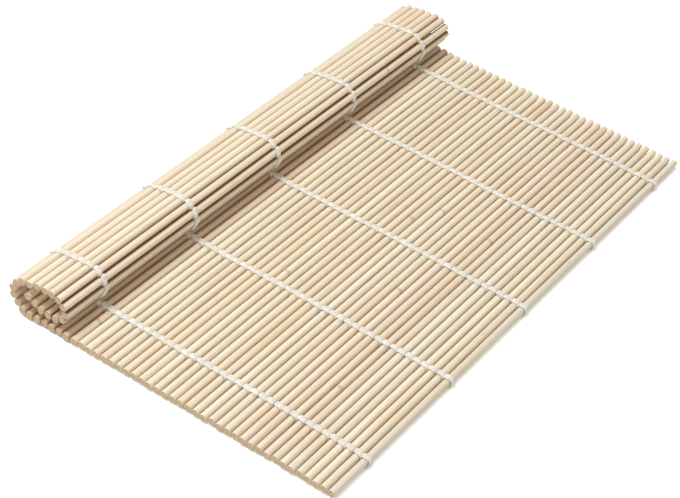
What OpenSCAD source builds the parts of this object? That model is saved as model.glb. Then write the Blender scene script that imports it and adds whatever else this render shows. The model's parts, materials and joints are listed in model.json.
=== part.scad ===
// Rolling mat of thin round rods laced side by side by five cords.
// The far end is rolled up over the mat, and the rest lies flat on the table.
// The rods run along X, the front edge points to -Y, and the roll lies at +Y.

/* [Rods] */
// Length of each rod
rod_length = 240; // [180:5:300]
// Diameter of each rod
rod_d = 2.75; // [2.3:0.05:3.3]
// Gap that the crossing cords keep between two rods
rod_gap = 0.41; // [0.36:0.01:0.6]

/* [Lacing] */
// Number of lacing lines across the mat
lace_lines = 5; // [3:1:7]
// Distance between two neighbouring lacing lines
lace_pitch = 50; // [20:1:50]
// Width of a lacing line, two cords side by side
lace_w = 2.2; // [1.4:0.1:3.2]
// Thickness of the cord where it passes over or under a rod
lace_t = 0.7; // [0.5:0.05:0.8]
// Depth to which the cord is pressed flat above and below a rod
lace_press = 0.1; // [0.05:0.01:0.2]
// Room between the cord and the rod that it goes round
lace_fit = 0.03; // [0.02:0.01:0.06]
// Room between the lacing of two sections at their joint
lace_room = 0.04; // [0.02:0.01:0.06]

/* [Sections] */
// Rods in each section of the front stretch, which curls the tightest
front_group = 2; // [1:1:3]
// Rods in each section of the middle stretch
field_group = 3; // [2:1:4]
// Rods in the section that lies under the roll
base_rods = 6; // [5:1:8]

/* [Folding] */
// Most that a joint of the front stretch folds up, in degrees
front_fold = 30; // [10:1:32]
// Most that a joint of the middle stretch folds up, in degrees
field_fold = 17; // [5:1:20]
// How far the end is rolled up: 1 is rolled, 0 is flat
rolled = 1; // [0:0.05:1]

/* [Hidden] */
// Rods in the two flat stretches and in the four stretches of the roll
front_rods = 16;
field_rods = 18;
far_bend_rods = 6;
top_rods = 4;
near_bend_rods = 4;
inner_rods = 5;
// Rods in each section of the roll: one in its bends, two where it runs flatter
bend_group = 1;
flat_group = 2;
// Turn at the first joint of each stretch of the roll, and what each next joint adds
far_turn = 21;
far_step = 2.5;
top_turn = 8;
top_step = -4;
near_turn = 29;
near_step = 4;
inner_turn = 39;
inner_step = -11;
// Room left between the lacing of two sections when their joint is fully folded
fold_spare = 0.5;

rod_r = rod_d / 2;
pitch = rod_d + rod_gap;
wrap_r = rod_r + lace_t;
stand_h = wrap_r - lace_press;
rod_color = [0.9, 0.8, 0.62];
cord_color = [0.96, 0.95, 0.91];

// Each stretch: its name, its rods, rods in a section, first turn, added turn, and the fold of its joints in the flat mat
stretches = [
    ["front", front_rods, front_group, 0, 0, front_fold],
    ["field", field_rods, field_group, 0, 0, field_fold],
    ["base", base_rods, base_rods, 0, 0, field_fold],
    ["far_bend", far_bend_rods, bend_group, far_turn, far_step, 0],
    ["top", top_rods, flat_group, top_turn, top_step, 0],
    ["near_bend", near_bend_rods, bend_group, near_turn, near_step, 0],
    ["inner", inner_rods, flat_group, inner_turn, inner_step, 0]
];
// Where a section's values stand in its list
NAME = 0;
RODS = 1;
TURN = 2;
FOLD = 3;

// A section's name, its rods, the turn at its first joint as made, and the most that this joint folds
function section(s, k, last) = [
    last == 1 ? s[0] : str(s[0], "_", k),
    min(s[2], s[1] - (k - 1) * s[2]),
    s[3] + (k - 1) * s[4],
    max(s[5], s[3] + (k - 1) * s[4])
];
sections = [
    for (s = stretches)
        let (last = ceil(s[1] / s[2]))
            for (k = [1 : last]) section(s, k, last)
];
count = len(sections);

// The first joint of the mat is its front edge, which has no neighbour to fold against
function fold_at(k) = k <= 0 || k >= count ? -1 : sections[k][FOLD];

// Heading of section k in degrees, and where its first joint lies
function heading(k) = k < 0 ? 0 : heading(k - 1) + rolled * sections[k][TURN];
function along(k) = sections[k][RODS] * pitch * [cos(heading(k)), sin(heading(k))];
function joint_at(k) = k <= 0 ? [0, stand_h] : joint_at(k - 1) + along(k - 1);
function rod_at(k, i) = joint_at(k) + (i + 0.5) * pitch * [cos(heading(k)), sin(heading(k))];

// The mat's middle from front to back, so that the model stands over its origin
rod_ys = [for (k = [0 : count - 1]) for (i = [0 : sections[k][RODS] - 1]) rod_at(k, i)[0]];
middle = (min(rod_ys) + max(rod_ys)) / 2;

function rods_name(k) = str(sections[k][NAME], "_rods");
function lacing_name(k) = str(sections[k][NAME], "_lacing");

// Stands its children, drawn with X along the mat and Y up, at section k
module at_section(k) {
    translate([0, joint_at(k)[0] - middle, joint_at(k)[1]])
        rotate([heading(k), 0, 0])
            rotate([90, 0, 90])
                children();
}

// The rods of section k
module rods(k) {
    color(rod_color)
        at_section(k)
            for (i = [0 : sections[k][RODS] - 1])
                translate([(i + 0.5) * pitch, 0, 0])
                    cylinder(h = rod_length, r = rod_r, center = true, $fn = 48);
}

// Half of the space that the lacing may fill, from a rod's middle to the joint, where it is cut back for the fold
module joint_side(fold) {
    lean = fold < 0 ? 0 : tan(fold / 2 + fold_spare) * wrap_r;
    reach = fold < 0 ? wrap_r : (pitch - lace_room) / 2;
    linear_extrude(height = lace_w, center = true)
        polygon([
            [0, -stand_h],
            [reach, -stand_h],
            [reach, 0],
            [reach - lean * stand_h / wrap_r, stand_h],
            [0, stand_h]
        ]);
}

// One lacing line's cord round the rods of section k, pressed flat above and below
module band(k) {
    n = sections[k][RODS];
    difference() {
        for (i = [0 : n - 1])
            translate([(i + 0.5) * pitch, 0, 0])
                intersection() {
                    cylinder(h = lace_w, r = wrap_r, center = true, $fn = 48);
                    union() {
                        if (i == n - 1)
                            joint_side(fold_at(k + 1));
                        else
                            translate([pitch / 4, 0, 0])
                                cube([pitch / 2, 2 * stand_h, lace_w], center = true);
                        if (i == 0)
                            mirror([1, 0, 0])
                                joint_side(fold_at(k));
                        else
                            translate([-pitch / 4, 0, 0])
                                cube([pitch / 2, 2 * stand_h, lace_w], center = true);
                    }
                }
        for (i = [0 : n - 1])
            translate([(i + 0.5) * pitch, 0, 0])
                cylinder(h = 2 * lace_w, r = rod_r + lace_fit, center = true, $fn = 48);
    }
}

// The lacing lines of section k
module lacing(k) {
    color(cord_color)
        at_section(k)
            for (line = [0 : lace_lines - 1])
                translate([0, 0, (line - (lace_lines - 1) / 2) * lace_pitch])
                    band(k);
}

for (k = [0 : count - 1]) {
    rods(k);
    lacing(k);
}
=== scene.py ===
"""Looks of a rolling mat: thin bamboo rods laced with twined cotton cord, one end rolled up."""

import json
import logging
import math
from dataclasses import dataclass, field
from enum import Enum

import bpy
import numpy as np
from bpy.types import ID, Material, Mesh, Node, NodeSocket as Socket, NodeTree, Object
from mathutils import Matrix, Vector
from numpy.linalg import norm

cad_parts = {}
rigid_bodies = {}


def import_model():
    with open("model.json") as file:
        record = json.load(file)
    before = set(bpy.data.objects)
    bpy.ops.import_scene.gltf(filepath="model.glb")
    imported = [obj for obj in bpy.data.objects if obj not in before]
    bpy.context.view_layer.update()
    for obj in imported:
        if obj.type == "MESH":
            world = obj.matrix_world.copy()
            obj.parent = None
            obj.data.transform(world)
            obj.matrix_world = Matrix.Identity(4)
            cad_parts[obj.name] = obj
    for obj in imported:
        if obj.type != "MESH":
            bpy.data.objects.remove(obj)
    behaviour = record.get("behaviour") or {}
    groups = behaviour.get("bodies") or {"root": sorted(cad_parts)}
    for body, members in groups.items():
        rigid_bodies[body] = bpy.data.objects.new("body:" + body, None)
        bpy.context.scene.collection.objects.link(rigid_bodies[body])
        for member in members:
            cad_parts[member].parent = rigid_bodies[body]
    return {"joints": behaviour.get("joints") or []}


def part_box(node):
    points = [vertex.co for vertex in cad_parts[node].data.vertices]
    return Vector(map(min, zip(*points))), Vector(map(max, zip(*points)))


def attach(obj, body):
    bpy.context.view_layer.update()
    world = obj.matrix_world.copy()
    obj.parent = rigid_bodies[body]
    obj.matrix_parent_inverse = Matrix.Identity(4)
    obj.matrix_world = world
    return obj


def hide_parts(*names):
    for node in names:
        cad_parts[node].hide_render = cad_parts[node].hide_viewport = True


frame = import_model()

log = logging.getLogger("rolling_mat")

Array = np.ndarray
# Red, green and blue of a display colour, each from 0 to 255
Color = tuple[int, int, int]
# Where a smooth step starts, where it ends, and how high it rises
Rise = tuple[float, float, float]
MM = 0.001
# A noise mostly stays within a quarter of its middle, so this many times its swing is about 1
NOISE_SPREAD = 4.0
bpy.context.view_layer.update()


class Slot(Enum):
    """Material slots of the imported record."""

    BAMBOO = "bamboo"
    CORD = "cotton_cord"


class Side(Enum):
    """The side on which a cord passes a rod."""

    OVER = 1
    UNDER = -1


def linear(color: Color) -> tuple[float, float, float, float]:
    """A display colour as the linear colour that a socket takes, by the sRGB curve."""
    shares = [channel / 255 for channel in color]
    return (*[s / 12.92 if s <= 0.04045 else ((s + 0.055) / 1.055) ** 2.4 for s in shares], 1.0)


def placed(name: str, data: ID) -> Object:
    """A new object in the scene, at the origin."""
    made = bpy.data.objects.new(name, data)
    bpy.context.scene.collection.objects.link(made)
    return made


class Nodes:
    """Short calls for the nodes and links of one node tree."""

    def __init__(self, tree: NodeTree) -> None:
        """Takes the tree that the nodes are made in."""
        self.tree = tree

    def add(self, kind: str, inputs: dict | None = None, **settings: object) -> Node:
        """A new node.

        Args:
            kind: Blender's name of the node type.
            inputs: What each input gets, by its name or number: a value, a socket or a node.
            settings: The node's own properties.

        Returns:
            The node.
        """
        node = self.tree.nodes.new(kind)
        for name, value in settings.items():
            setattr(node, name, value)
        self.fill(node, inputs or {})
        return node

    def fill(self, node: Node, inputs: dict) -> None:
        """Gives each of a node's inputs, by name or number, its value, socket or node."""
        for key, value in inputs.items():
            self.feed(node.inputs[key], value)

    def feed(self, socket: Socket, value: object) -> None:
        """Links a socket or a node's first output to an input, or sets its value."""
        if isinstance(value, Node):
            value = value.outputs[0]
        if isinstance(value, Socket):
            self.tree.links.new(value, socket)
        else:
            socket.default_value = value

    def math(self, operation: str, *values: object, clamp: bool = False) -> Socket:
        """The result of a Math node on one, two or three values."""
        node = self.add("ShaderNodeMath", dict(enumerate(values)), operation=operation, use_clamp=clamp)
        return node.outputs[0]

    def vector(self, operation: str, *values: object) -> Socket:
        """The vector that a Vector Math node makes of two vectors."""
        return self.add("ShaderNodeVectorMath", dict(enumerate(values)), operation=operation).outputs[0]

    def scaled(self, vector: object, factor: object) -> Socket:
        """A vector times a number."""
        return self.add("ShaderNodeVectorMath", {0: vector, "Scale": factor}, operation="SCALE").outputs[0]

    def joined(self, x: object, y: object, z: object) -> Socket:
        """A vector of three numbers."""
        return self.add("ShaderNodeCombineXYZ", {0: x, 1: y, 2: z}).outputs[0]

    def parts(self, vector: object) -> list[Socket]:
        """The three numbers of a vector."""
        return list(self.add("ShaderNodeSeparateXYZ", {0: vector}).outputs)

    def noise(self, vector: object, detail: float = 2.0, w: object = None) -> Node:
        """A noise of scale 1 over a vector, and over a fourth value where one is given."""
        inputs = {"Vector": vector, "Scale": 1.0, "Detail": detail}
        if w is None:
            return self.add("ShaderNodeTexNoise", inputs, noise_dimensions="3D")
        return self.add("ShaderNodeTexNoise", {**inputs, "W": w}, noise_dimensions="4D")

    def rise(self, value: object, step: Rise) -> Socket:
        """A smooth step over a value."""
        low, high, top = step
        limits = {"Value": value, "From Min": low, "From Max": high, "To Max": top}
        return self.add("ShaderNodeMapRange", limits, interpolation_type="SMOOTHSTEP").outputs[0]

    def held(self, name: str, kind: str = "FLOAT") -> Socket:
        """A number or vector that the geometry holds under a name."""
        return self.add("GeometryNodeInputNamedAttribute", {"Name": name}, data_type=kind).outputs[0]

    def stored(self, mesh: object, name: str, value: object, kind: str = "FLOAT") -> Node:
        """The geometry with a number or vector stored at its points under a name."""
        inputs = {0: mesh, "Name": name, "Value": value}
        return self.add("GeometryNodeStoreNamedAttribute", inputs, data_type=kind, domain="POINT")

    def captured(self, geometry: object, kind: str, value: object) -> list[Socket]:
        """The geometry, and a value at its points as it is before they move."""
        node = self.add("GeometryNodeCaptureAttribute", domain="POINT")
        node.capture_items.new(kind, "kept")
        self.fill(node, {0: geometry, 1: value})
        return list(node.outputs)[:2]

    def ring(self, sides: object) -> Node:
        """A circle of radius 1 with that many sides."""
        inputs = {"Resolution": sides, "Radius": 1.0}
        return self.add("GeometryNodeCurvePrimitiveCircle", inputs, mode="RADIUS")

    def tube(self, curve: object, ring: object, scale: object) -> Node:
        """A closed tube along a curve, with the ring times the scale as its section."""
        inputs = {"Curve": curve, "Profile Curve": ring, "Scale": scale, "Fill Caps": True}
        return self.add("GeometryNodeCurveToMesh", inputs)

    def attribute(self, name: str, output: str = "Fac") -> Socket:
        """What a material reads of the values that a mesh holds under a name."""
        return self.add("ShaderNodeAttribute", attribute_name=name).outputs[output]

    def mixed(self, share: object, first: object, second: object, mode: str = "MIX") -> Socket:
        """Two colours mixed, where share is how much of the second there is."""
        # Inputs 6 and 7 and output 2 of the node are the ones for colours
        inputs = {0: share, 6: first, 7: second}
        return self.add("ShaderNodeMix", inputs, data_type="RGBA", blend_type=mode).outputs[2]


def new_material(name: str) -> tuple[Material, Nodes, Node]:
    """A new material, its nodes, and its shader."""
    made = bpy.data.materials.new(name)
    made.use_nodes = True
    return made, Nodes(made.node_tree), made.node_tree.nodes["Principled BSDF"]


@dataclass(frozen=True)
class BambooFinish:
    """Bare split bamboo: a tone for each rod, grain along it, a few knuckles, and pores at its ends, with
    painted shade on the flanks, in the gaps of the near bend, low in the roll and on the cut ends.
    """

    tones: tuple[tuple[float, Color], ...] = (
        (0.00, (252, 244, 225)),
        (0.25, (249, 239, 214)),
        (0.45, (251, 237, 219)),
        (0.62, (246, 237, 213)),
        (0.80, (249, 231, 204)),
        (0.93, (240, 233, 214)),
        (1.00, (237, 214, 180)),
    )
    streak: Color = (214, 188, 146)
    pale: Color = (255, 248, 232)
    blush: Color = (242, 208, 170)
    knuckle: Color = (168, 134, 96)
    # Painted shade: the brown that the rods' flanks get where they face the next rods, and that rods low in
    # the roll get all over
    flank: Color = (194, 132, 56)
    # Painted shade: the dark brown of the gaps between the rods of the roll's near bend
    gap_shade: Color = (116, 70, 26)
    # The cut ends: end wood and pores, partly their own colour and partly painted shade that darkens the end
    # faces
    end_wood_and_shade: Color = (208, 184, 152)
    pore_and_shade: Color = (146, 116, 88)
    fibre_width: float = 0.35 * MM
    streak_width: float = 1.1 * MM
    pore_width: float = 0.22 * MM
    fibre_waves: float = 24.0
    streak_waves: float = 7.0
    patch_waves: float = 22.0
    fleck_waves: float = 160.0
    streak_rise: Rise = (0.48, 0.78, 0.4)
    pale_rise: Rise = (0.5, 0.75, 0.5)
    blush_rise: Rise = (0.5, 0.75, 0.35)
    fleck_rise: Rise = (0.7, 0.78, 0.4)
    # How the painted flank shade rises over a flank, and the share of it that the whole rod gets
    flank_shade_rise: Rise = (0.5, 0.98, 0.7)
    flank_shade_floor: float = 0.3
    # Where the painted gap shade starts, on the most side-facing part of a flank
    gap_shade_rise: Rise = (0.7, 0.93, 1.0)
    pore_rise: Rise = (0.2, 0.5, 1.0)
    knuckle_fade: Rise = (0.9 * MM, 2.0 * MM, 0.4)
    knuckle_fray: float = 1.6 * MM
    roughness: float = 0.5
    rough_swing: float = 0.2
    gloss: float = 0.35
    relief: float = 0.03 * MM
    relief_strength: float = 0.6
    streak_relief: float = 0.6

    def material(self) -> Material:
        """The material, which reads a rod's own attributes and Object coordinates."""
        made, nodes, shader = new_material("split_bamboo")
        place = nodes.add("ShaderNodeTexCoord").outputs["Object"]
        along = nodes.parts(place)[0]
        tone, shade, seed, flank, end_grain = map(
            nodes.attribute, ("tone", "shade", "seed", "flank", "end_grain")
        )
        fibres = nodes.noise(self.grain(nodes, place, self.fibre_waves, self.fibre_width), 3.0)
        streaks = nodes.noise(self.grain(nodes, place, self.streak_waves, self.streak_width), 2.0)
        flecks = nodes.noise(self.grain(nodes, place, self.fleck_waves, self.fibre_width), 1.0)
        patches = nodes.math("MULTIPLY", along, self.patch_waves)
        patches = nodes.noise(nodes.joined(patches, seed, 0.0), 2.0)

        color = self.palette(nodes, tone)
        # Painted shade: brown rising over each rod's flanks, with some over all of the rod, times the rod's
        # own share
        browned = nodes.math("ADD", nodes.rise(flank, self.flank_shade_rise), self.flank_shade_floor)
        # Painted shade: dark brown on the parts of the flanks that face the next rods most, for the gaps of
        # the near bend
        hollowed = nodes.rise(flank, self.gap_shade_rise)
        layers = (
            (nodes.rise(fibres, self.streak_rise), self.streak),
            (nodes.rise(streaks, self.pale_rise), self.pale),
            (nodes.rise(patches, self.blush_rise), self.blush),
            (nodes.rise(flecks, self.fleck_rise), self.knuckle),
            (self.knuckle_ring(nodes, along, streaks), self.knuckle),
            # Painted shade on the flanks, the most on rods low in the roll
            (nodes.math("MULTIPLY", browned, nodes.attribute("browned")), self.flank),
            # Painted shade in the gaps of the roll's near bend
            (nodes.math("MULTIPLY", hollowed, nodes.attribute("hollowed")), self.gap_shade),
        )
        for share, tint in layers:
            color = nodes.mixed(share, color, linear(tint))
        color = nodes.mixed(1.0, color, nodes.joined(shade, shade, shade), "MULTIPLY")
        # The cut ends, darkened partly by painted shade
        color = nodes.mixed(end_grain, color, self.end_color(nodes, place))
        height = nodes.math("MULTIPLY_ADD", streaks, self.streak_relief, fibres)
        bump = {"Height": height, "Distance": self.relief, "Strength": self.relief_strength}
        looks = {
            "Base Color": color,
            "Roughness": nodes.math("MULTIPLY_ADD", fibres, self.rough_swing, self.roughness),
            "Normal": nodes.add("ShaderNodeBump", bump),
            "Specular IOR Level": self.gloss,
        }
        nodes.fill(shader, looks)
        return made

    def grain(self, nodes: Nodes, place: object, along: float, width: float) -> Socket:
        """Places stretched so that a noise over them runs along the rods in streaks of that width."""
        return nodes.vector("MULTIPLY", place, (along, 1 / width, 1 / width))

    def palette(self, nodes: Nodes, tone: object) -> Socket:
        """The ground colour of each rod."""
        ramp = nodes.add("ShaderNodeValToRGB", {0: tone})
        stops = ramp.color_ramp.elements
        while len(stops) < len(self.tones):
            stops.new(1.0)
        for stop, (position, color) in zip(stops, self.tones):
            stop.position, stop.color = position, linear(color)
        return ramp.outputs[0]

    def knuckle_ring(self, nodes: Nodes, along: object, streaks: object) -> Socket:
        """How much of the dark ring there is, close to a rod's knuckle."""
        away = nodes.math("ABSOLUTE", nodes.math("SUBTRACT", along, nodes.attribute("knuckle_at")))
        frayed = nodes.math("MULTIPLY_ADD", streaks, self.knuckle_fray, away)
        return nodes.math("SUBTRACT", self.knuckle_fade[2], nodes.rise(frayed, self.knuckle_fade))

    def end_color(self, nodes: Nodes, place: object) -> Socket:
        """Cut bamboo across the grain, with its dark pores, both darker than the wood alone as painted shade
        on the end faces.
        """
        near = nodes.vector("MULTIPLY", place, (0.0, 1 / self.pore_width, 1 / self.pore_width))
        spots = nodes.add("ShaderNodeTexVoronoi", {"Vector": near, "Scale": 1.0}).outputs["Distance"]
        wood = nodes.rise(spots, self.pore_rise)
        return nodes.mixed(wood, linear(self.pore_and_shade), linear(self.end_wood_and_shade))


@dataclass(frozen=True)
class CottonFinish:
    """Unbleached cotton cord: soft plies, painted shade in the grooves between them, and fine fibres along
    them.
    """

    ground: Color = (243, 240, 231)
    shaded: Color = (222, 217, 205)
    fleck: Color = (252, 250, 243)
    fibre_count: float = 9.0
    fibre_length: float = 0.9 * MM
    fleck_waves: float = 420.0
    ground_rise: Rise = (0.35, 0.7, 1.0)
    fleck_rise: Rise = (0.45, 0.75, 0.7)
    groove_shade: float = 0.4
    relief: float = 0.02 * MM
    relief_strength: float = 0.7
    roughness: float = 0.9
    gloss: float = 0.15
    sheen: float = 0.25
    sheen_roughness: float = 0.5

    def material(self) -> Material:
        """The material, which reads the ply attributes that the cord's mesh holds."""
        made, nodes, shader = new_material("cotton_cord")
        place = nodes.add("ShaderNodeTexCoord").outputs["Object"]
        stretch = (self.fibre_count, self.fibre_count, 1 / self.fibre_length)
        fibres = nodes.noise(nodes.vector("MULTIPLY", nodes.attribute("ply", "Vector"), stretch), 3.0)
        mottle = nodes.noise(nodes.scaled(place, self.fleck_waves), 2.0)
        ground, shaded, fleck = (linear(tint) for tint in (self.ground, self.shaded, self.fleck))
        color = nodes.mixed(nodes.rise(fibres, self.ground_rise), shaded, ground)
        color = nodes.mixed(nodes.rise(mottle, self.fleck_rise), color, fleck)
        # Painted shade: the grooves between the plies are darkened toward the shaded colour
        groove = nodes.math("MULTIPLY", nodes.attribute("groove"), self.groove_shade)
        bump = {"Height": fibres, "Distance": self.relief, "Strength": self.relief_strength}
        looks = {
            "Base Color": nodes.mixed(groove, color, shaded),
            "Normal": nodes.add("ShaderNodeBump", bump),
            "Roughness": self.roughness,
            "Specular IOR Level": self.gloss,
            "Sheen Weight": self.sheen,
            "Sheen Roughness": self.sheen_roughness,
        }
        nodes.fill(shader, looks)
        return made


@dataclass(frozen=True)
class FloorFinish:
    """A white table top that shows white to the camera and keeps the shadow of what lies on it."""

    color: Color = (250, 250, 249)
    roughness: float = 0.9
    glow: float = 0.75
    shade_reach: float = 2.5 * MM

    def material(self) -> Material:
        """The material: a matt white that adds a little light of its own where it is seen."""
        made, nodes, shader = new_material("white_table")
        path = nodes.add("ShaderNodeLightPath").outputs
        seen = nodes.math("ADD", path["Is Camera Ray"], path["Is Glossy Ray"])
        seen = nodes.math("ADD", seen, path["Is Transmission Ray"], clamp=True)
        open_sky = nodes.add("ShaderNodeAmbientOcclusion", {"Distance": self.shade_reach}).outputs["AO"]
        glow = nodes.math("MULTIPLY", nodes.math("MULTIPLY", open_sky, open_sky), self.glow)
        looks = {
            "Base Color": linear(self.color),
            "Roughness": self.roughness,
            "Specular IOR Level": 0.0,
            "Emission Color": (1.0, 1.0, 1.0, 1.0),
            "Emission Strength": nodes.math("MULTIPLY", seen, glow),
        }
        nodes.fill(shader, looks)
        return made


@dataclass(frozen=True)
class Rod:
    """A rod: its number from the front edge, then its middle, ways and neighbours in the YZ plane."""

    number: int
    middle: Array
    forward: Array
    upward: Array
    neighbours: tuple[Array, ...]


@dataclass
class Section:
    """Rods that move as one, with the gap where the section starts and the gap where it ends."""

    name: str
    start: Array
    end: Array
    rods: list[Rod] = field(default_factory=list)
    level_slope: float = 0.05

    @property
    def heading(self) -> float:
        """Direction of the section in the YZ plane, in radians."""
        return math.atan2(*(self.end - self.start)[::-1])

    @property
    def falls(self) -> bool:
        """Whether the section runs down, as in the roll's near bend."""
        return math.sin(self.heading) < -self.level_slope


@dataclass
class Layout:
    """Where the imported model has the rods: the chain of sections from the front edge to the rolled end."""

    joints: list[dict]
    by_pair: dict[frozenset[str], dict] = field(init=False)
    rod_r: float = field(init=False)
    rod_length: float = field(init=False)
    pitch: float = field(init=False)
    sections: list[Section] = field(init=False)
    root_place: int = field(init=False)

    def __post_init__(self) -> None:
        """Reads the sizes and the chain from the frame."""
        self.by_pair = {frozenset((j["parent"], j["child"])): j for j in self.joints}
        names = self.chain()
        low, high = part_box(f"{names[-1]}_rods")
        self.rod_r = (high.y - low.y) / 2
        self.rod_length = high.x - low.x
        gaps = [self.gap(a, b) for a, b in zip(names, names[1:])]
        self.pitch = min(norm(b - a) for a, b in zip(gaps, gaps[1:]))
        middles = [self.middle_of(name) for name in names]
        starts = [2 * middles[0] - gaps[0], *gaps]
        ends = [*gaps, 2 * middles[-1] - gaps[-1]]
        self.sections = [Section(*facts) for facts in zip(names, starts, ends)]
        self.place_rods()

    def chain(self) -> list[str]:
        """The bodies in order, from the front edge to the rolled end."""
        children: dict[str, list[dict]] = {}
        for joint in self.joints:
            children.setdefault(joint["parent"], []).append(joint)
        root = (set(children) - {j["child"] for j in self.joints}).pop()
        branches = []
        for joint in sorted(children[root], key=lambda j: j["pos_m"][1]):
            branch = [joint["child"]]
            while branch[-1] in children:
                branch.append(children[branch[-1]][0]["child"])
            branches.append(branch)
        front, rear = branches
        self.root_place = len(front)
        return [*front[::-1], root, *rear]

    def gap(self, first: str, second: str) -> Array:
        """The hinge between two bodies, in the YZ plane."""
        return np.array(self.by_pair[frozenset((first, second))]["pos_m"][1:])

    def middle_of(self, name: str) -> Array:
        """The middle of a body's rods, in the YZ plane."""
        low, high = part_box(f"{name}_rods")
        return np.array(((low + high) / 2)[1:])

    def turns(self, k: int) -> tuple[float, ...]:
        """The turns of the gap before section k at rest and at its other limit, in radians."""
        before, after = self.sections[k - 1], self.sections[k]
        rest = math.remainder(after.heading - before.heading, math.tau)
        limit = math.radians(self.by_pair[frozenset((before.name, after.name))]["range_deg"][1])
        return rest, abs(limit - rest)

    @property
    def top(self) -> float:
        """Height of the uppermost rod's middle."""
        return max(rod.middle[1] for section in self.sections for rod in section.rods)

    def in_roll(self, section: Section) -> bool:
        """Whether a section lies under the roll, as the root does, or in it, as all after the root do."""
        return self.sections.index(section) >= self.root_place

    def place_rods(self) -> None:
        """Gives each section its rods, and each rod the places that its neighbours can take."""
        number = 0
        for k, section in enumerate(self.sections):
            span = section.end - section.start
            count = round(norm(span) / self.pitch)
            forward = span / norm(span)
            upward = np.array((-forward[1], forward[0]))
            for i in range(count):
                before = self.turns(k) if i == 0 and k > 0 else (0.0,)
                after = self.turns(k + 1) if i == count - 1 and k + 1 < len(self.sections) else (0.0,)
                near = []
                if k > 0 or i > 0:
                    near += [self.neighbour(-1, turn) for turn in before]
                if k + 1 < len(self.sections) or i < count - 1:
                    near += [self.neighbour(1, turn) for turn in after]
                middle = section.start + forward * (i + 0.5) * self.pitch
                section.rods.append(Rod(number, middle, forward, upward, tuple(near)))
                number += 1

    def neighbour(self, way: int, turn: float) -> Array:
        """Where the next rod, way 1, or the one before, way -1, lies from a rod, by their gap's turn."""
        half = self.pitch / 2
        return np.array((way * half * (1 + math.cos(turn)), half * math.sin(turn)))


@dataclass
class Grower:
    """Runs guide meshes through a tree of Geometry Nodes with its values, and keeps plain meshes."""

    tree: NodeTree
    values: dict[str, object]

    def grow(self, name: str, guide: Mesh) -> Object:
        """A finished piece at the origin, with no modifier left on it."""
        piece = placed(name, guide)
        modifier = piece.modifiers.new("grow", "NODES")
        modifier.node_group = self.tree
        for item in self.tree.interface.items_tree:
            if item.in_out == "INPUT" and item.name in self.values:
                modifier[item.identifier] = self.values[item.name]
        depsgraph = bpy.context.evaluated_depsgraph_get()
        grown = bpy.data.meshes.new_from_object(piece.evaluated_get(depsgraph), depsgraph=depsgraph)
        piece.modifiers.remove(modifier)
        piece.data = grown
        grown.name = name
        bpy.data.meshes.remove(guide)
        return piece


def inputs_of(sizes: object, names: tuple[str, ...]) -> dict[str, object]:
    """Some of a class's values under labels for a tree's inputs, such as Knuckle height."""
    return {name.replace("_", " ").capitalize(): getattr(sizes, name) for name in names}


def new_tree(name: str, values: dict[str, object]) -> tuple[Nodes, Node]:
    """A tree of Geometry Nodes with a geometry input and output and an input for each value.

    Args:
        name: The tree's name.
        values: What each further input will get, by its name: a number or a material.

    Returns:
        The tree's nodes, and its input node.
    """
    kinds = {float: "Float", int: "Int"}
    tree = bpy.data.node_groups.new(name, "GeometryNodeTree")
    tree.interface.new_socket("Geometry", in_out="INPUT", socket_type="NodeSocketGeometry")
    for label, value in values.items():
        kind = kinds.get(type(value), "Material")
        tree.interface.new_socket(label, in_out="INPUT", socket_type=f"NodeSocket{kind}")
    tree.interface.new_socket("Geometry", in_out="OUTPUT", socket_type="NodeSocketGeometry")
    nodes = Nodes(tree)
    return nodes, nodes.add("NodeGroupInput")


def finish_tree(nodes: Nodes, mesh: object, given: Node) -> None:
    """Ends a tree: smooth faces with sharp rims, real geometry, and its material."""
    angle = nodes.add("GeometryNodeInputMeshEdgeAngle")
    rims = nodes.math("GREATER_THAN", angle, given.outputs["Sharp angle"])
    mesh = nodes.add("GeometryNodeSetShadeSmooth", {0: mesh, "Shade Smooth": True}, domain="FACE")
    mesh = nodes.add("GeometryNodeSetShadeSmooth", {0: mesh, 1: rims, "Shade Smooth": False}, domain="EDGE")
    mesh = nodes.add("GeometryNodeRealizeInstances", {0: mesh})
    mesh = nodes.add("GeometryNodeSetMaterial", {0: mesh, "Material": given.outputs["Material"]})
    nodes.add("NodeGroupOutput", {0: mesh})


def guide_mesh(name: str, points: Array, edges: list, traits: dict[str, Array]) -> Mesh:
    """A mesh of edges that holds named numbers or vectors at its points.

    Args:
        name: The mesh's name.
        points: Its points, in metres.
        edges: Pairs of point numbers.
        traits: Values at the points, by name: a row of numbers, or rows of vectors.

    Returns:
        The mesh.
    """
    mesh = bpy.data.meshes.new(f"{name}_guide")
    mesh.from_pydata([tuple(map(float, p)) for p in points], edges, [])
    for label, values in traits.items():
        values = np.asarray(values, np.float32)
        kind, key = ("FLOAT_VECTOR", "vector") if values.ndim == 2 else ("FLOAT", "value")
        mesh.attributes.new(label, kind, "POINT").data.foreach_set(key, values.ravel())
    return mesh


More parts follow.
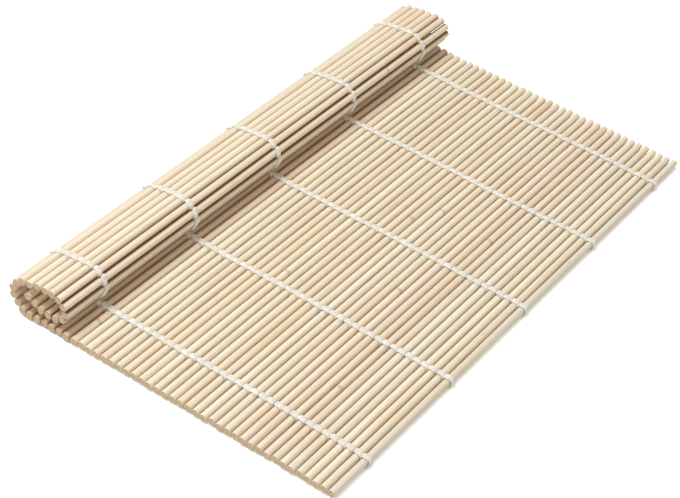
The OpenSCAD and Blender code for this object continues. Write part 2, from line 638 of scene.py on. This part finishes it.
@dataclass
class Rods:
    """The bamboo rods: cut square with a small bevel, a little bowed and faceted, each with its tone."""

    layout: Layout
    material: Material
    sides: int = 18
    stations: int = 64
    bevel: float = 0.12 * MM
    bow: float = 0.11 * MM
    bow_waves: float = 9.0
    swell: float = 0.03
    swell_waves: float = 26.0
    swell_aside: float = 3.0
    facet: float = 0.07
    facet_waves: float = 14.0
    facet_turns: float = 1.4
    sharp_angle: float = math.radians(32)
    knuckle_height: float = 0.06 * MM
    knuckle_width: float = 1.6 * MM
    knuckle_share: float = 0.12
    off_the_rod: float = 1.0
    trim: float = 0.5 * MM
    flat_girths: tuple[float, float] = (0.945, 0.99)
    rolled_girths: tuple[float, float] = (1.01, 1.05)
    near_girths: tuple[float, float] = (1.05, 1.08)
    far_girths: tuple[float, float] = (1.07, 1.1)
    shades: tuple[float, float] = (0.93, 1.0)
    stray: float = 0.08 * MM
    # Painted shade on the flanks: the share of the flat rods, the extra that the lowest rods in the roll
    # get, and the depth under the top over which it grows
    least_flank_shading: float = 0.1
    low_flank_shading: float = 0.66
    shade_depth: float = 9 * MM
    # How dark the painted gap shade is on the rods of the near bend
    near_gap_shading: float = 0.8
    seed: int = 11
    seed_span: float = 90.0
    tree_inputs: tuple[str, ...] = (
        "bevel", "bow", "swell", "facet", "knuckle_height", "knuckle_width", "sharp_angle", "sides",
        "stations", "material",
    )

    def tree(self, values: dict[str, object]) -> NodeTree:
        """The tree that makes a rod of each guide edge."""
        nodes, given = new_tree("bamboo_rods", values)
        trait = {name: nodes.held(name) for name in ("reach", "shift", "girth", "seed", "knuckle_at")}
        curve, ends = self.course(nodes, given.outputs, trait)
        radius = self.radius(nodes, given.outputs, trait, ends)
        mesh = self.skin(nodes, given.outputs, trait, curve, radius)
        finish_tree(nodes, mesh, given)
        return nodes.tree

    def waves(self, nodes: Nodes, x: object, count: float, aside: float, seed: object) -> Node:
        """Slow noise along a rod, with about that many waves a metre."""
        return nodes.noise(nodes.joined(nodes.math("MULTIPLY", x, count), aside, 0.0), 1.0, seed)

    def course(self, nodes: Nodes, size: object, trait: dict) -> tuple[Node, object]:
        """A rod's bowed middle line, and a mark that is 1 at its two outer stations.

        Args:
            nodes: The tree's nodes.
            size: The tree's inputs.
            trait: What the guide holds, by name.

        Returns:
            The line, and the mark.
        """
        curve = nodes.add("GeometryNodeMeshToCurve", {0: size["Geometry"]})
        curve = nodes.add("GeometryNodeResampleCurve", {0: curve, "Count": size["Stations"]})
        # The inner stations are spread evenly, and the outer two stand a bevel beyond them
        index = nodes.add("GeometryNodeSplineParameter").outputs["Index"]
        first = nodes.math("LESS_THAN", index, 0.5)
        last = nodes.math("GREATER_THAN", index, nodes.math("SUBTRACT", size["Stations"], 1.5))
        inner = nodes.math("SUBTRACT", index, 1.0)
        inner = nodes.math("DIVIDE", inner, nodes.math("SUBTRACT", size["Stations"], 3.0), clamp=True)
        way = nodes.math("MULTIPLY_ADD", inner, 2.0, -1.0)
        reach = nodes.math("SUBTRACT", trait["reach"], size["Bevel"])
        x = nodes.math("MULTIPLY_ADD", way, reach, trait["shift"])
        x = nodes.math("MULTIPLY_ADD", nodes.math("SUBTRACT", last, first), size["Bevel"], x)
        spot = nodes.parts(nodes.add("GeometryNodeInputPosition"))
        sway = self.waves(nodes, x, self.bow_waves, 0.0, trait["seed"]).outputs["Color"]
        sway = nodes.vector("SUBTRACT", sway, (0.5, 0.5, 0.5))
        sway = nodes.scaled(sway, nodes.math("MULTIPLY", size["Bow"], NOISE_SPREAD))
        sway = nodes.vector("MULTIPLY", sway, (0.0, 1.0, 1.0))
        place = nodes.vector("ADD", nodes.joined(x, spot[1], spot[2]), sway)
        curve = nodes.add("GeometryNodeSetPosition", {0: curve, "Position": place})
        ends = nodes.math("ADD", first, last)
        return nodes.stored(curve, "end_grain", ends), ends

    def radius(self, nodes: Nodes, size: object, trait: dict, ends: object) -> Socket:
        """A rod's radius along it, which swells slowly and at its knuckle, and draws in at its ends."""
        along = nodes.parts(nodes.add("GeometryNodeInputPosition"))[0]
        swell = self.waves(nodes, along, self.swell_waves, self.swell_aside, trait["seed"])
        swell = nodes.math("SUBTRACT", swell, 0.5)
        girth = nodes.math("MULTIPLY_ADD", swell, size["Swell"], trait["girth"])
        away = nodes.math("SUBTRACT", along, trait["knuckle_at"])
        away = nodes.math("DIVIDE", away, size["Knuckle width"])
        hump = nodes.math("EXPONENT", nodes.math("MULTIPLY", nodes.math("MULTIPLY", away, away), -1.0))
        radius = nodes.math("MULTIPLY", hump, size["Knuckle height"])
        radius = nodes.math("MULTIPLY_ADD", girth, size["Rod radius"], radius)
        return nodes.math("SUBTRACT", radius, nodes.math("MULTIPLY", ends, size["Bevel"]))

    def skin(self, nodes: Nodes, size: object, trait: dict, curve: object, radius: object) -> Node:
        """A faceted tube along a line, which holds how much it faces the next rods: where the material
        paints shade on its flanks.
        """
        curve, axis = nodes.captured(curve, "VECTOR", nodes.add("GeometryNodeInputPosition"))
        mesh = nodes.tube(curve, nodes.ring(size["Sides"]), radius)
        outward = nodes.vector("SUBTRACT", nodes.add("GeometryNodeInputPosition"), axis)
        ray = nodes.vector("NORMALIZE", outward)
        along = nodes.vector("MULTIPLY", axis, (self.facet_waves, 0.0, 0.0))
        spot = nodes.vector("ADD", nodes.scaled(ray, self.facet_turns), along)
        flat = nodes.math("SUBTRACT", nodes.noise(spot, 1.0, trait["seed"]), 0.5)
        flat = nodes.math("MULTIPLY", flat, size["Facet"])
        facing = {0: ray, 1: nodes.held("forward", "FLOAT_VECTOR")}
        facing = nodes.add("ShaderNodeVectorMath", facing, operation="DOT_PRODUCT").outputs["Value"]
        mesh = nodes.stored(mesh, "flank", nodes.math("ABSOLUTE", facing))
        return nodes.add("GeometryNodeSetPosition", {0: mesh, "Offset": nodes.scaled(outward, flat)})

    def build(self) -> None:
        """One piece for each section, which rides on it and stands for its rods."""
        draw = np.random.default_rng(self.seed)
        values = inputs_of(self, self.tree_inputs) | {"Rod radius": self.layout.rod_r}
        grower = Grower(self.tree(values), values)
        for section in self.layout.sections:
            name = f"{section.name}_bamboo"
            piece = grower.grow(name, self.guide(name, section, draw))
            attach(piece, section.name)
            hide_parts(f"{section.name}_rods")
            log.info("%s: %d rods, %d faces", name, len(section.rods), len(piece.data.polygons))

    def guide(self, name: str, section: Section, draw: np.random.Generator) -> Mesh:
        """One edge for each rod, with what sets that rod apart from the others."""
        half = self.layout.rod_length / 2
        girths = self.girths(section)
        points, edges, rows = [], [], []
        for k, rod in enumerate(section.rods):
            left, right = -half + self.trim * draw.random() ** 2, half - self.trim * draw.random() ** 2
            has_knuckle = draw.random() < self.knuckle_share
            knuckle_at = draw.uniform(-half, half) if has_knuckle else self.off_the_rod
            row = {
                "reach": (right - left) / 2,
                "shift": (right + left) / 2,
                "girth": draw.uniform(*girths),
                "seed": draw.uniform(0, self.seed_span),
                "tone": draw.random(),
                "shade": draw.uniform(*self.shades),
                "knuckle_at": knuckle_at,
                # How much painted shade this rod's flanks get
                "browned": self.browned(section, rod),
                # Painted gap shade goes only on the rods of the near bend
                "hollowed": self.near_gap_shading if section.falls else 0.0,
                "forward": (0.0, *rod.forward),
            }
            middle = rod.middle + rod.forward * self.strayed(section, rod)
            points += [(left, *middle), (right, *middle)]
            rows += [row, row]
            edges.append((2 * k, 2 * k + 1))
        traits = {key: np.array([row[key] for row in rows]) for key in rows[0]}
        return guide_mesh(name, np.array(points), edges, traits)

    def girths(self, section: Section) -> tuple[float, float]:
        """The least and greatest girth of a section's rods: more in the roll, and most in its far bend."""
        if not self.layout.in_roll(section):
            return self.flat_girths
        if section.falls:
            return self.near_girths
        return self.far_girths if len(section.rods) == 1 else self.rolled_girths

    def strayed(self, section: Section, rod: Rod) -> float:
        """How far a rod of the roll lies off its even place, which varies the gaps beside it."""
        if not self.layout.in_roll(section) or len(section.rods) == 1:
            return 0.0
        return self.stray * np.random.default_rng(self.seed + rod.number).uniform(-1, 1)

    def browned(self, section: Section, rod: Rod) -> float:
        """How much painted shade a rod's flanks get, and a little its whole surface: the most low in the
        roll, where rods shade each other.
        """
        if not self.layout.in_roll(section):
            return self.least_flank_shading
        depth = (self.layout.top - rod.middle[1]) / self.shade_depth
        return self.least_flank_shading + self.low_flank_shading * float(np.clip(depth, 0, 1))


@dataclass
class Run:
    """A stretch of cord: its middle line, its half width and depth as vectors, and its length so far."""

    middle: Array
    wide: Array
    deep: Array
    along: Array


@dataclass(frozen=True)
class Wave:
    """A sine along the mat: its height, and how many radians a rod it has."""

    height: float
    rate: float

    def at(self, stretch: Array, phase: float) -> Array:
        """Its values at places along the mat, counted in rods."""
        return self.height * np.sin(stretch * self.rate + phase)


@dataclass(frozen=True)
class Knot:
    """The knot that ties a line's two cords behind the last rod, with its two short ends."""

    size: float = 0.85 * MM
    cord: float = 0.32 * MM
    stand: float = 0.6
    depth: float = 0.45
    points: int = 49
    tail: float = 3.2 * MM
    tail_points: int = 13
    tail_sway: float = 0.3
    tail_curl: float = 2.4
    tail_lean: float = 0.25

    def courses(self, centre: Array, forward: Array, upward: Array) -> list[Array]:
        """The middle lines of the knot and of its two ends.

        Args:
            centre: The knot's middle.
            forward: The way along the mat.
            upward: The way up from it.

        Returns:
            Points along each of the three lines.
        """
        side = np.array((1.0, 0.0, 0.0))
        turn = np.linspace(0, math.tau, self.points)
        trefoil = (
            (np.sin(turn) + 2 * np.sin(2 * turn)) / 3,
            (np.cos(turn) - 2 * np.cos(2 * turn)) / 3,
            -self.depth * np.sin(3 * turn),
        )
        lines = [centre + self.size * np.stack(trefoil, 1) @ np.stack([side, upward, forward])]
        share = np.linspace(0, 1, self.tail_points)[:, None]
        for way in (-1, 1):
            sway = upward * self.tail_sway * np.sin(self.tail_curl * share + way)
            bend = (sway + forward * self.tail_lean * share) * self.size
            lines.append(centre + side * way * self.tail * share + bend)
        return lines


@dataclass
class Lacing:
    """Five lines of two cords, twined round the rods: one over, one under, changing places in each gap."""

    layout: Layout
    material: Material
    lines: int = 5
    line_pitch: float = 50 * MM
    depth: float = 0.6 * MM
    shoulder: float = 0.34 * MM
    clear: float = 0.2 * MM
    lane: float = 0.36 * MM
    lane_hold: float = 0.15
    narrow: float = 1.06 * MM
    broad: float = 1.3 * MM
    steps: int = 22
    sides: int = 16
    plies: int = 3
    lay: float = 3.4 * MM
    groove: float = 0.13
    sharp_angle: float = math.radians(75)
    wander: float = 0.22 * MM
    drifts: tuple[Wave, ...] = (Wave(0.7, 1 / 4.1), Wave(0.3, 1 / 1.3))
    plumpness: tuple[Wave, ...] = (Wave(0.06, 2.3), Wave(0.04, 0.9))
    overlap: float = 0.14 * MM
    tip_shares: tuple[float, ...] = (0.45, 0.8, 1.0)
    tip_draw: float = 0.97
    knot: Knot = Knot()
    slant: tuple[float, float, float] = (0.31, 0.52, 0.79)
    seed: int = 5
    plump_seed: int = 55
    line_seeds: int = 10
    tree_inputs: tuple[str, ...] = ("plies", "lay", "groove", "sides", "sharp_angle", "material")

    def tree(self, values: dict[str, object]) -> NodeTree:
        """The tree that lays a plied cord along each guide line."""
        nodes, given = new_tree("twined_cord", values)
        size = given.outputs
        curve = nodes.add("GeometryNodeMeshToCurve", {0: size["Geometry"]})
        curve, axis = nodes.captured(curve, "VECTOR", nodes.add("GeometryNodeInputPosition"))
        factor = nodes.add("GeometryNodeSplineParameter").outputs["Factor"]
        ring, turn = nodes.captured(nodes.ring(size["Sides"]), "FLOAT", factor)
        mesh = nodes.tube(curve, ring, self.broad)

        along = nodes.held("along")
        angle = nodes.math("MULTIPLY", turn, math.tau)
        twist = nodes.math("MULTIPLY", nodes.math("DIVIDE", along, size["Lay"]), math.tau)
        ply = nodes.math("SUBTRACT", angle, twist)
        lobe = nodes.math("MULTIPLY", nodes.math("MULTIPLY", ply, size["Plies"]), 0.5)
        lobe = nodes.math("ABSOLUTE", nodes.math("COSINE", lobe))
        dip = nodes.math("SUBTRACT", 1.0, lobe)
        scale = nodes.math("SUBTRACT", 1.0, nodes.math("MULTIPLY", dip, size["Groove"]))
        wide = nodes.scaled(nodes.held("wide", "FLOAT_VECTOR"), nodes.math("COSINE", angle))
        deep = nodes.scaled(nodes.held("deep", "FLOAT_VECTOR"), nodes.math("SINE", angle))
        skin = nodes.scaled(nodes.vector("ADD", wide, deep), scale)
        place = nodes.vector("ADD", axis, skin)
        mesh = nodes.add("GeometryNodeSetPosition", {0: mesh, "Position": place})
        fibre = nodes.joined(nodes.math("COSINE", ply), nodes.math("SINE", ply), along)
        mesh = nodes.stored(mesh, "ply", fibre, "FLOAT_VECTOR")
        mesh = nodes.stored(mesh, "groove", dip)
        finish_tree(nodes, mesh, given)
        return nodes.tree

    def build(self) -> None:
        """A piece for each section, which rides on it and stands for its lacing, and one of knots."""
        values = inputs_of(self, self.tree_inputs)
        grower = Grower(self.tree(values), values)
        for section in self.layout.sections:
            runs = [run for line in range(self.lines) for run in self.runs(line, section)]
            self.make(grower, f"{section.name}_cord", section.name, runs, f"{section.name}_lacing")
        last = self.layout.sections[-1]
        knots = [run for line in range(self.lines) for run in self.tied(line, last.rods[-1])]
        self.make(grower, f"{last.name}_knots", last.name, knots, None)

    def make(self, grower: Grower, name: str, body: str, runs: list[Run], node: str | None) -> None:
        """Grows the runs as one piece, which rides on the body and stands for the node, if any."""
        piece = grower.grow(name, self.guide(name, runs))
        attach(piece, body)
        if node:
            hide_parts(node)
        log.info("%s: %d runs of cord, %d faces", name, len(runs), len(piece.data.polygons))

    def guide(self, name: str, runs: list[Run]) -> Mesh:
        """The runs as lines of edges, with their half widths, half depths and lengths."""
        edges, first = [], 0
        for run in runs:
            count = len(run.middle)
            edges += [(first + i, first + i + 1) for i in range(count - 1)]
            first += count
        keys = ("wide", "deep", "along")
        traits = {key: np.concatenate([getattr(run, key) for run in runs]) for key in keys}
        return guide_mesh(name, np.concatenate([run.middle for run in runs]), edges, traits)

    def runs(self, line: int, section: Section) -> list[Run]:
        """The two cords of one line round the rods of a section, as one loop at either end of the mat."""
        first, second = cords = [self.cord(line, strand, section) for strand in (0, 1)]
        if section is self.layout.sections[0]:
            cords = [np.concatenate([first[::-1], second[1:]])]
        elif section is self.layout.sections[-1]:
            cords = [np.concatenate([first, second[-2::-1]])]
        return [self.band(rows) for rows in cords]

    def cord(self, line: int, strand: int, section: Section) -> Array:
        """Stations of one cord along a section, as `arc` gives them for each rod."""
        rows = []
        for rod in section.rods:
            side = Side.OVER if (rod.number + strand) % 2 == 0 else Side.UNDER
            arc = self.arc(line, strand, rod, side)
            rows.append(arc if not rows else arc[1:])
        return np.concatenate(rows)

    def arc(self, line: int, strand: int, rod: Rod, side: Side) -> Array:
        """Stations of a cord from the gap before a rod, over or under the rod, to the gap after it.

        Args:
            line: The line's number.
            strand: Which of its two cords.
            rod: The rod.
            side: Over or under.

        Returns:
            A row for each station: x, y and z, the y and z of the way out from the rod, the half
            width and the half depth.
        """
        share = np.linspace(0.0, 1.0, self.steps + 1)
        angle = math.pi * (1 - share) * side.value
        rays = np.stack([np.cos(angle), np.sin(angle)], 1)
        outer = np.array([self.room(ray, rod) for ray in rays])
        radius = (self.layout.rod_r + outer) / 2
        stretch = rod.number + share
        basis = np.stack([rod.forward, rod.upward])
        middle = rod.middle + radius[:, None] * rays @ basis
        outward = (rays @ basis) * side.value * (1 - 2 * strand)
        width = self.narrow + (self.broad - self.narrow) * np.sin(math.pi * share) ** 2
        width = width * self.plump(line, strand, stretch)
        x = self.line_x(line) + (self.aside(rod, side, share) + self.drift(line, stretch))
        return np.column_stack([x, middle, outward, width, (outer - self.layout.rod_r) / 2])

    def line_x(self, line: int) -> float:
        """Where a lacing line crosses the rods."""
        return (line - (self.lines - 1) / 2) * self.line_pitch

    def aside(self, rod: Rod, side: Side, share: Array) -> Array:
        """How far a cord lies beside its line on its way past a rod: not at all at the mat's ends."""
        swing = np.clip((share - self.lane_hold) / (1 - 2 * self.lane_hold), 0, 1)
        aside = -side.value * self.lane * np.cos(math.pi * swing)
        if rod.number == 0:
            aside *= np.clip(2 * share - 1, 0, 1)
        if rod.number == self.layout.sections[-1].rods[-1].number:
            aside *= np.clip(1 - 2 * share, 0, 1)
        return aside

    def room(self, ray: Array, rod: Rod) -> float:
        """How far from a rod's middle the cord reaches along a ray, up to the rods beside it."""
        reach = self.layout.rod_r + self.depth + self.shoulder * (2 * ray[0] * ray[1]) ** 2
        kept = (self.layout.rod_r + self.clear) ** 2
        for place in rod.neighbours:
            ahead = float(place @ ray)
            aside = float(place @ place) - ahead**2
            if ahead > 0 and aside < kept:
                reach = min(reach, ahead - math.sqrt(kept - aside))
        return reach

    def drift(self, line: int, stretch: Array) -> Array:
        """How far a lacing line strays sideways, along the mat."""
        phases = np.random.default_rng(self.seed + line).uniform(0, math.tau, 2)
        return self.wander * sum(wave.at(stretch, phase) for wave, phase in zip(self.drifts, phases))

    def plump(self, line: int, strand: int, stretch: Array) -> Array:
        """How the width of a cord varies along the mat, about 1."""
        draw = np.random.default_rng(self.plump_seed + self.line_seeds * line + strand)
        phase = draw.uniform(0, math.tau)
        quick, slow = self.plumpness
        return 1 + quick.at(stretch, phase) + slow.at(stretch, 2 * phase)

    def band(self, rows: Array) -> Run:
        """A run of cord along rows of stations, as `arc` gives them."""
        outward = np.column_stack([np.zeros(len(rows)), rows[:, 3:5]])
        return self.run(rows[:, :3], outward, rows[:, 5], rows[:, 6])

    def run(self, middle: Array, outward: Array, width: Array, depth: Array) -> Run:
        """A run of cord with its ends rounded off.

        Args:
            middle: Points along its middle line.
            outward: About the way of its half depth at each point.
            width: Its half width at each point.
            depth: Its half depth at each point.

        Returns:
            The run.
        """
        tangent = np.gradient(middle, axis=0)
        tangent /= norm(tangent, axis=1)[:, None]
        # The stations past both ends, where the cord draws in to a round tip
        shares = np.array(self.tip_shares)
        draw_in = np.sqrt(1 - (self.tip_draw * shares) ** 2)
        past = (shares * self.overlap)[:, None]
        before, after = middle[0] - tangent[0] * past, middle[-1] + tangent[-1] * past
        middle = np.concatenate([before[::-1], middle, after])
        width, depth = (np.concatenate([s[0] * draw_in[::-1], s, s[-1] * draw_in]) for s in (width, depth))
        count = len(shares)
        outward, tangent = (np.pad(s, ((count, count), (0, 0)), "edge") for s in (outward, tangent))
        across = np.cross(outward, tangent)
        across /= norm(across, axis=1)[:, None]
        out = np.cross(tangent, across)
        steps = norm(np.diff(middle, axis=0), axis=1)
        along = np.concatenate([[0.0], np.cumsum(steps)])
        return Run(middle, across * width[:, None], out * depth[:, None], along)

    def tied(self, line: int, rod: Rod) -> list[Run]:
        """The knot of a line behind the last rod, as runs of cord."""
        forward, upward = (np.array((0.0, *way)) for way in (rod.forward, rod.upward))
        x = self.line_x(line) + self.drift(line, np.array([rod.number + 1.0]))[0]
        away = self.layout.rod_r + self.depth + self.knot.stand * self.knot.size
        centre = np.array((x, *rod.middle)) + forward * away
        return [self.plain_run(course) for course in self.knot.courses(centre, forward, upward)]

    def plain_run(self, middle: Array) -> Run:
        """A run of round cord along points in space."""
        outward = np.cross(np.gradient(middle, axis=0), self.slant)
        size = np.full(len(middle), self.knot.cord)
        return self.run(middle, outward, size, size)


@dataclass(frozen=True)
class Softbox:
    """A square light that points at the mat."""

    name: str
    place: tuple[float, float, float]
    size: float
    level: float
    color: tuple[float, float, float] = (1.0, 1.0, 1.0)

    def build(self) -> None:
        """Makes the light, at a power that gives a white sheet at the mat this level."""
        lamp = bpy.data.lights.new(self.name, "AREA")
        lamp.shape = "SQUARE"
        lamp.size = self.size
        lamp.color = self.color
        spot = Vector(self.place)
        lamp.energy = self.level * math.pi**2 * spot.length_squared
        holder = placed(self.name, lamp)
        holder.location = spot
        holder.rotation_euler = spot.to_track_quat("Z", "Y").to_euler()


@dataclass
class Studio:
    """A white table, soft light from above and behind the roll, and a camera over the near corner."""

    target: tuple[float, float, float] = (-15.27 * MM, 2.24 * MM, 0.0)
    azimuth: float = -61.785
    elevation: float = 38.377
    roll: float = 9.7146
    distance: float = 735.327 * MM
    lens: float = 108.39
    table_size: float = 6.0
    table_drop: float = 0.01 * MM
    sky: float = 0.43
    sky_tint: tuple[float, float, float, float] = (1.0, 0.97, 0.915, 1.0)
    lights: tuple[Softbox, ...] = (
        Softbox("key", (-0.22, 0.38, 1.0), 0.4, 0.71, (1.0, 0.99, 0.975)),
        Softbox("fill", (-0.8, -0.5, 0.7), 0.8, 0.1),
    )

    def build(self) -> None:
        """Makes the table, the lights, the sky and the camera."""
        self.build_table()
        for light in self.lights:
            light.build()
        self.build_sky()
        self.build_camera()
        bpy.context.scene.view_settings.view_transform = "Standard"

    def build_table(self) -> None:
        """Makes the table top, a little under the mat, which isn't part of it."""
        half = self.table_size / 2
        corners = [(-half, -half), (half, -half), (half, half), (-half, half)]
        mesh = bpy.data.meshes.new("table")
        mesh.from_pydata([(x, y, -self.table_drop) for x, y in corners], [], [(0, 1, 2, 3)])
        mesh.materials.append(FloorFinish().material())
        table = placed("table", mesh)

    def build_sky(self) -> None:
        """Makes an even warm sky, which the camera sees as plain white."""
        world = bpy.data.worlds.new("sky")
        world.use_nodes = True
        bpy.context.scene.world = world
        nodes = Nodes(world.node_tree)
        path = nodes.add("ShaderNodeLightPath").outputs
        seen = nodes.math("ADD", path["Is Camera Ray"], path["Is Transmission Ray"], clamp=True)
        strength = nodes.math("MULTIPLY_ADD", seen, 1.0 - self.sky, self.sky)
        ground = world.node_tree.nodes["Background"]
        color = nodes.mixed(seen, self.sky_tint, (1.0, 1.0, 1.0, 1.0))
        nodes.fill(ground, {"Color": color, "Strength": strength})

    def build_camera(self) -> None:
        """Makes the camera and stands it at the viewing angle."""
        azimuth, elevation, roll = map(math.radians, (self.azimuth, self.elevation, self.roll))
        tilt = Matrix.Rotation(math.pi / 2 - elevation, 4, "X")
        turn = Matrix.Rotation(azimuth, 4, "Z") @ tilt @ Matrix.Rotation(roll, 4, "Z")
        lens = bpy.data.cameras.new("camera")
        lens.lens = self.lens
        camera = placed("camera", lens)
        away = turn @ Vector((0.0, 0.0, self.distance))
        camera.matrix_world = Matrix.Translation(Vector(self.target) + away) @ turn
        bpy.context.scene.camera = camera


def main() -> None:
    """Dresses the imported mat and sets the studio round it."""
    logging.basicConfig(level=logging.INFO, format="%(message)s")
    layout = Layout(frame["joints"])
    Rods(layout, BambooFinish().material()).build()
    Lacing(layout, CottonFinish().material()).build()
    Studio().build()
    log.info("rods and lacing of %d sections done", len(layout.sections))


if __name__ == "__main__":
    main()
